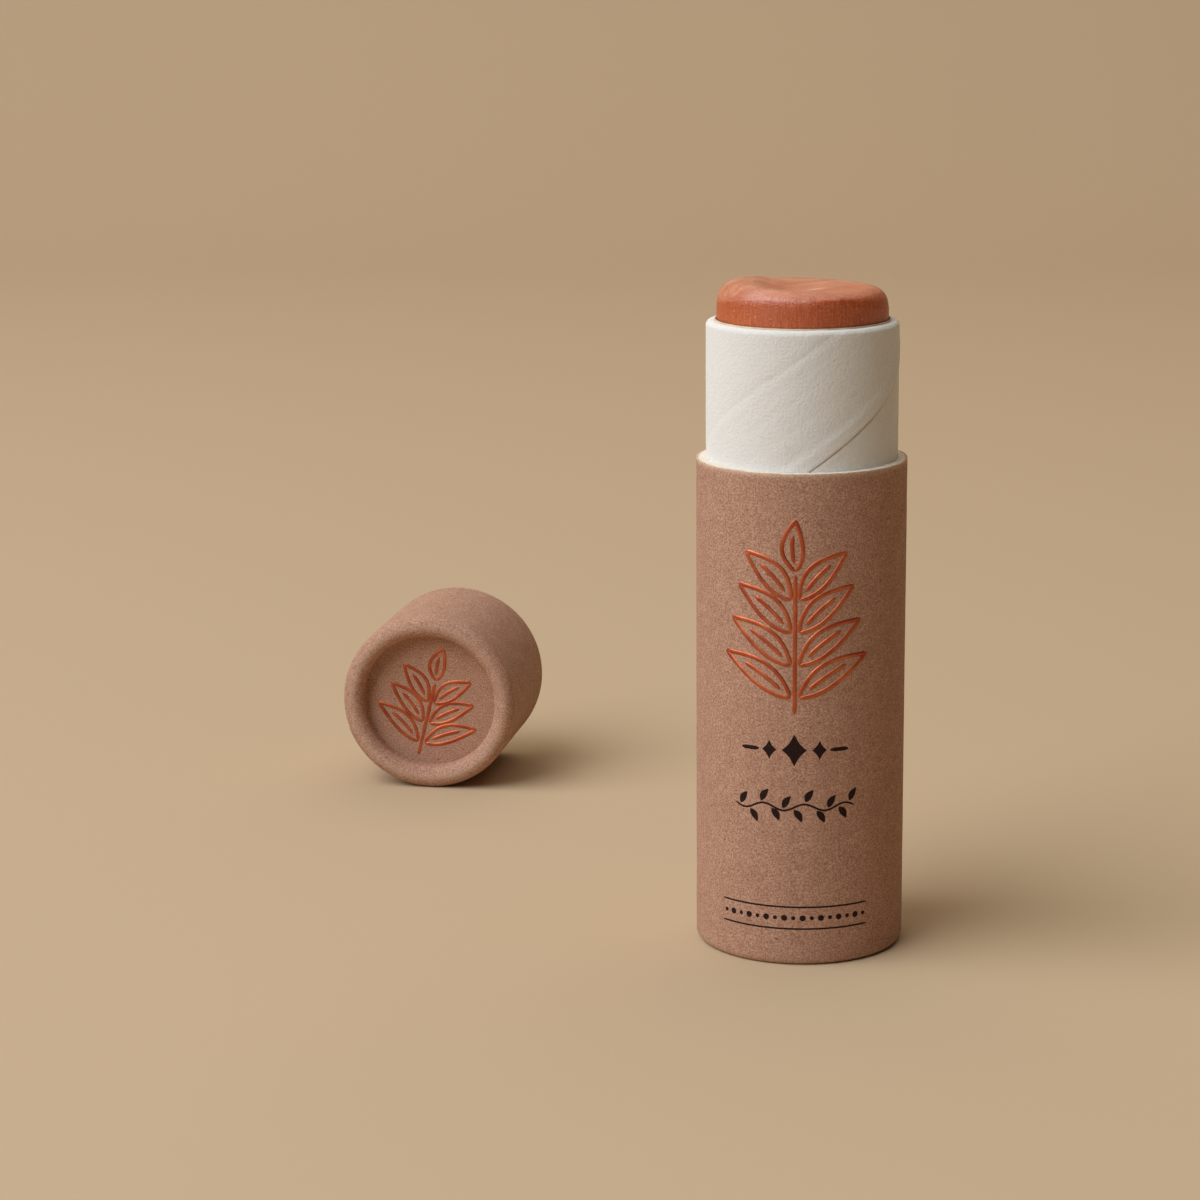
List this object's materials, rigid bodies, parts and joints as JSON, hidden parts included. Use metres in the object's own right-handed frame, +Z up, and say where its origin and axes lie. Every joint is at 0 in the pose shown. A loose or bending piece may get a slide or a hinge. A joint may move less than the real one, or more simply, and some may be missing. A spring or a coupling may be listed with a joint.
{
  "type": "lip balm stick",
  "caption": "Push-up lip balm in a round kraft-paper tube with a white paper neck, a balm that slides up from below, and a loose cap with a rolled rim and recessed end.",
  "frame": {"origin": "centre of the ring that the tube stands on", "axes": "+Z up along the tube, -Y the printed front, +X to the right seen from the front"},
  "size_m": [0.0638, 0.0802, 0.0655],
  "materials": {
    "kraft_paper": "matte",
    "kraft_card": "matte",
    "board": "matte",
    "white_paper": "matte",
    "greaseproof_paper": "satin",
    "balm": "satin",
    "copper_foil": "satin",
    "brown_ink": "matte"
  },
  "bodies": {
    "tube": {"outer_wrap": "kraft_paper", "outer_tube": "board", "neck_facing": "white_paper", "neck_outer_ply": "board", "neck_inner_ply": "board", "neck_liner": "greaseproof_paper"},
    "push_up": {"push_cup": "kraft_card", "push_disc": "board", "push_liner": "greaseproof_paper", "balm": "balm"},
    "cap": {"cap_wrap": "kraft_paper", "cap_tube": "board", "cap_end_facing": "kraft_paper", "cap_end_board": "board", "cap_end_liner": "greaseproof_paper"}
  },
  "joints": [
    {"name": "push_up", "type": "slide", "parent": "tube", "child": "push_up", "axis": [0, 0, 1], "range_m": [-0.011, 0.0454]},
    {"name": "cap_pull", "type": "slide", "parent": "tube", "child": "cap", "axis": [-0.1174, -0.9931, 0], "range_m": [0, 0.0167]}
  ]
}
